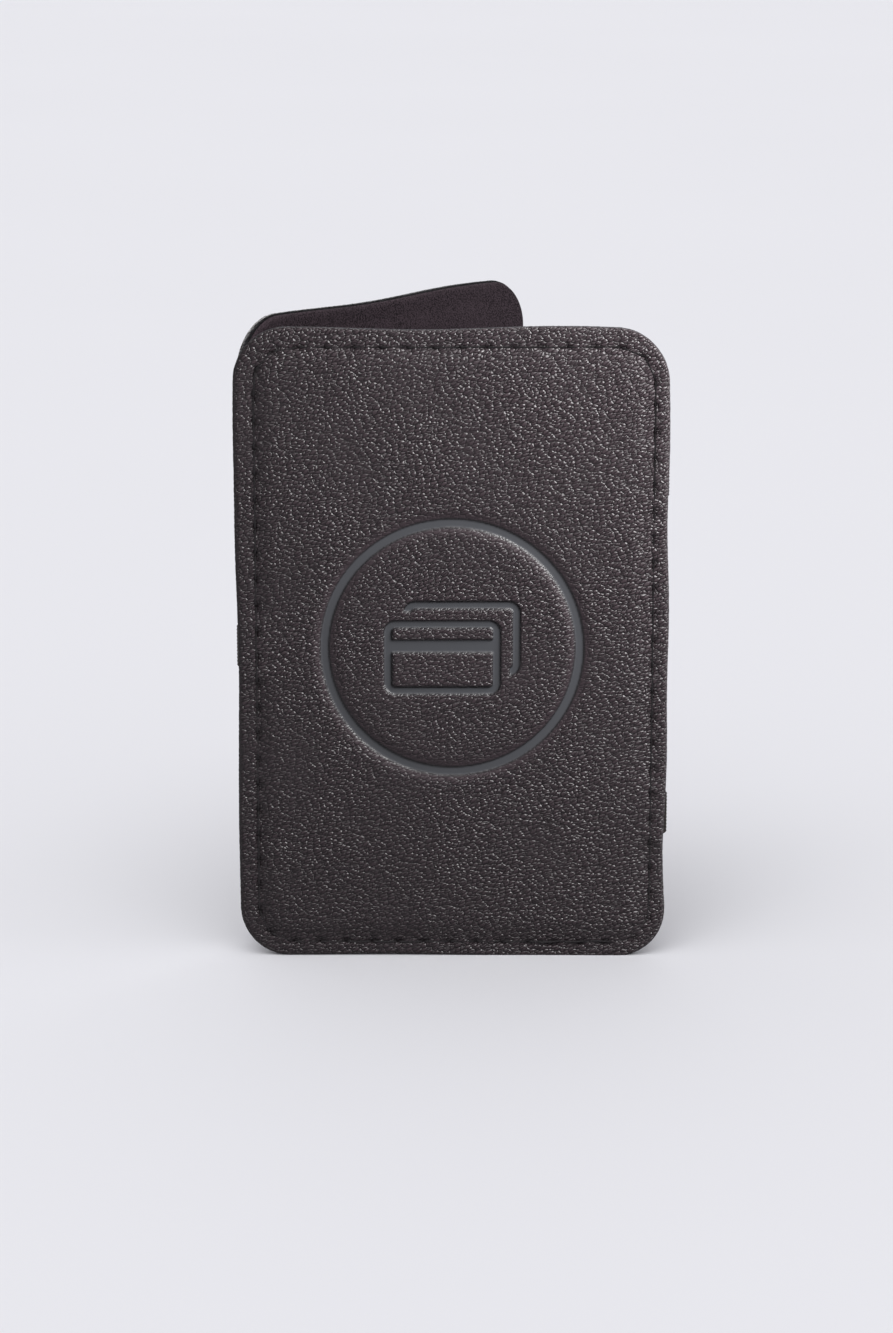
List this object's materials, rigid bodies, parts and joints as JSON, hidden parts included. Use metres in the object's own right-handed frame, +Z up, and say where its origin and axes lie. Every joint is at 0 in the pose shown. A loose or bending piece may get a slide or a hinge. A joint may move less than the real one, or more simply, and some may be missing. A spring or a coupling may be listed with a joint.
{
  "type": "card holder",
  "caption": "Folding card holder: stiff stitched leather-look panels joined by ribbed elastic straps that cross at the fold and hold cards, standing part open.",
  "frame": {"origin": "centre of the footprint, on the surface that the part open holder stands on", "axes": "+Z up along the panels' long edges, the front panel's outer face looks along -Y, the fold is at -X"},
  "size_m": [0.0712, 0.062, 0.105],
  "materials": {
    "leather": "pebbled grain, satin",
    "lining": "matt microfibre",
    "stiffener": "matt board",
    "thread": "twisted polyester",
    "elastic": "ribbed elastic"
  },
  "bodies": {
    "front_panel": {"front_cover": "leather", "front_board": "stiffener", "front_lining": "lining", "front_needle_thread": "thread", "front_bobbin_thread": "thread", "upper_strap": "elastic", "lower_strap": "elastic"},
    "rear_panel": {"rear_cover": "leather", "rear_board": "stiffener", "rear_lining": "lining", "rear_needle_thread": "thread", "rear_bobbin_thread": "thread", "middle_strap": "elastic"}
  },
  "joints": [
    {"name": "fold", "type": "hinge", "parent": "front_panel", "child": "rear_panel", "pos_m": [-0.03385, -0.02484, 0], "axis": [0, 0, 1], "range_deg": [-48, 132], "deforming": ["upper_strap", "middle_strap", "lower_strap"]}
  ]
}
